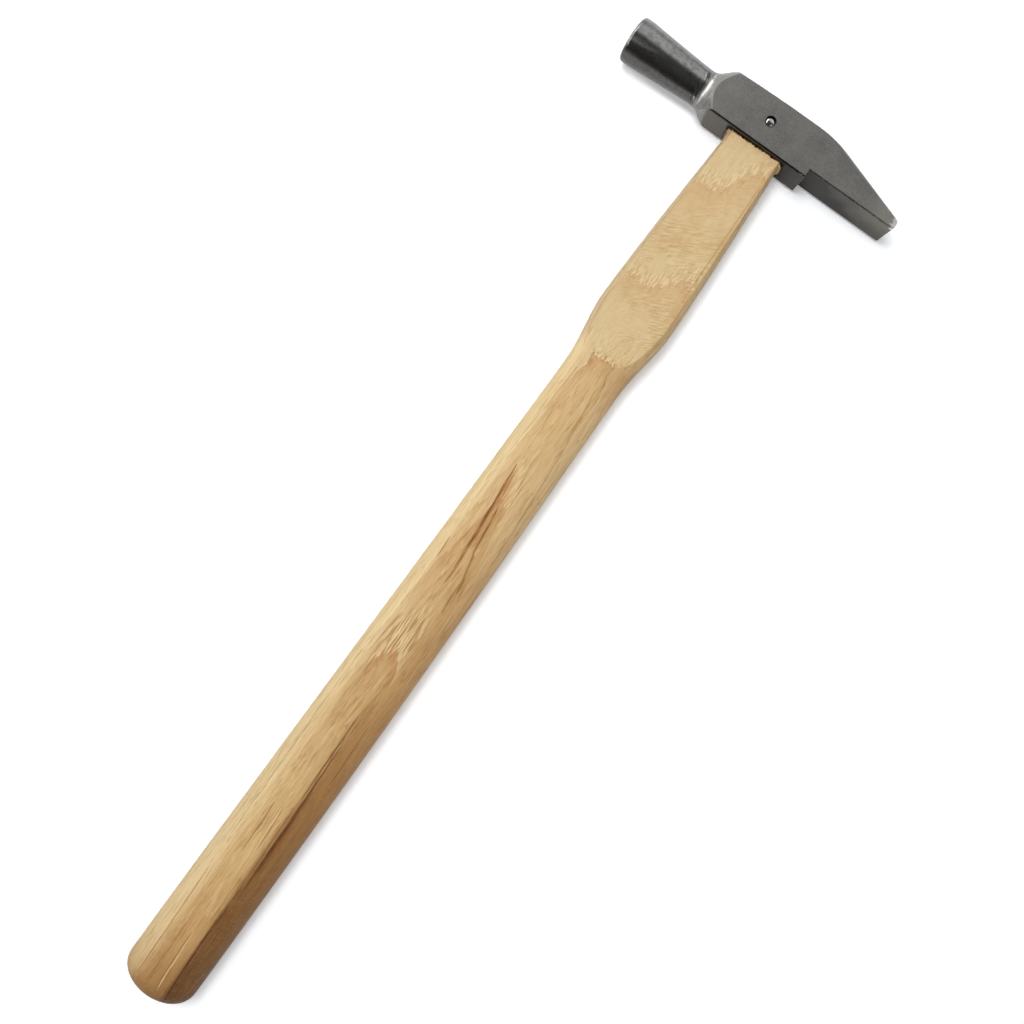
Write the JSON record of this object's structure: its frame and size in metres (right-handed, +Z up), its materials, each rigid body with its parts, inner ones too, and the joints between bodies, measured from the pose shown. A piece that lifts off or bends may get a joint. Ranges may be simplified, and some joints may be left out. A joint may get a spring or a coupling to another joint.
{
  "type": "jewellers hammer",
  "caption": "Small cross-peen hammer with a flared round striking face, a sloping wedge-shaped peen and a slim oval wooden handle that narrows to a flat neck.",
  "frame": {"origin": "bottom centre of the hammer's box as it lies on its side, on the level of the grip's underside, halfway between butt and tenon end and halfway between striking face and peen edge", "axes": "+X from the striking face towards the peen, +Y along the handle from the butt to the head, +Z up across the cheeks"},
  "size_m": [0.083, 0.281, 0.0146],
  "materials": {
    "head_steel": "ground and oiled grey steel, turned bright at the poll and worn bright at the peen's edge",
    "handle_wood": "bare sanded hardwood with open pores in rings, such as ash, darker and handled towards the butt",
    "wedge_wood": null,
    "pin_steel": "steel, polished on its domed ends"
  },
  "bodies": {
    "root": {"head": "head_steel", "handle": "handle_wood", "wedge": "wedge_wood", "cross_pin": "pin_steel"}
  },
  "joints": []
}
